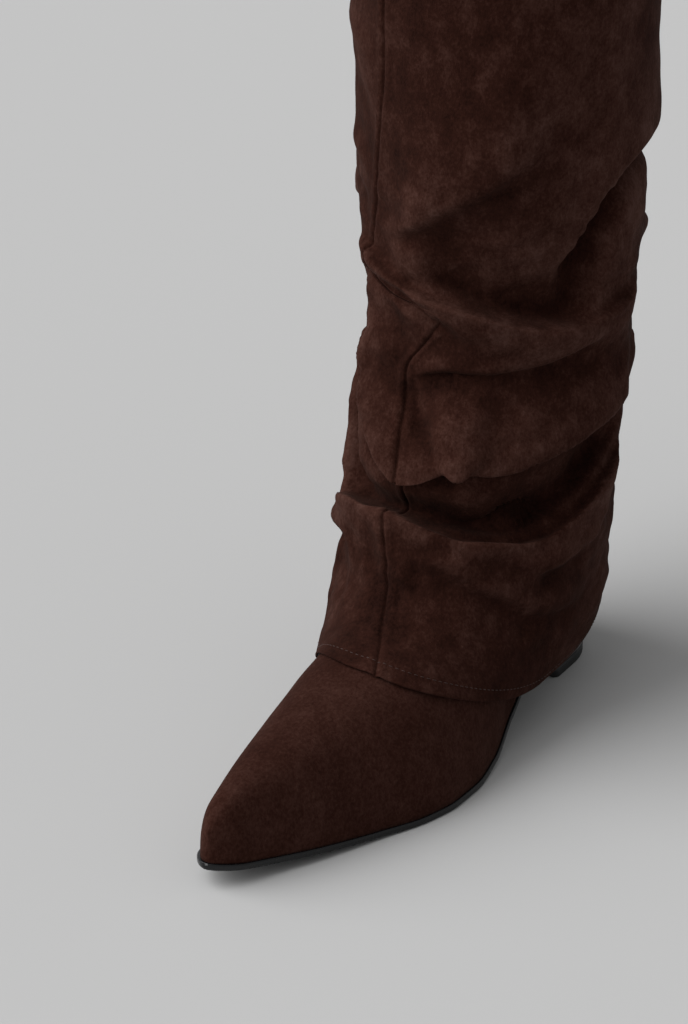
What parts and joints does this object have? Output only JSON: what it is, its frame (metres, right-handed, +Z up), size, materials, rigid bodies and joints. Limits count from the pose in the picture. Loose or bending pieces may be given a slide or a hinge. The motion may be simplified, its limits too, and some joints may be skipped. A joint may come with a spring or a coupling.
{
  "type": "knee-high boot",
  "caption": "Knee-high slouch boot in dark brown suede, with a pointed toe, a loose folded shaft hanging over the foot and a low block heel.",
  "frame": {"origin": "centre of the bounding box on the floor plane, under the sole", "axes": "+Z up the shaft, -Y towards the toe, +X towards the outer (lateral) side of the left boot"},
  "size_m": [0.133, 0.3024, 0.4051],
  "materials": {
    "sole_edge": "glossy black painted edge, dark resin sole",
    "heel_block": "black lacquered block",
    "heel_rubber": "satin black rubber tip",
    "foot_suede": "dark chocolate suede, short mottled nap",
    "insole_leather": "smooth brown lining leather",
    "shaft_suede": "dark chocolate suede, short mottled nap"
  },
  "bodies": {
    "root": {"outsole": "sole_edge", "heel": "heel_block", "heel_tip": "heel_rubber", "upper": "foot_suede", "insole": "insole_leather", "shaft": "shaft_suede"}
  },
  "joints": []
}
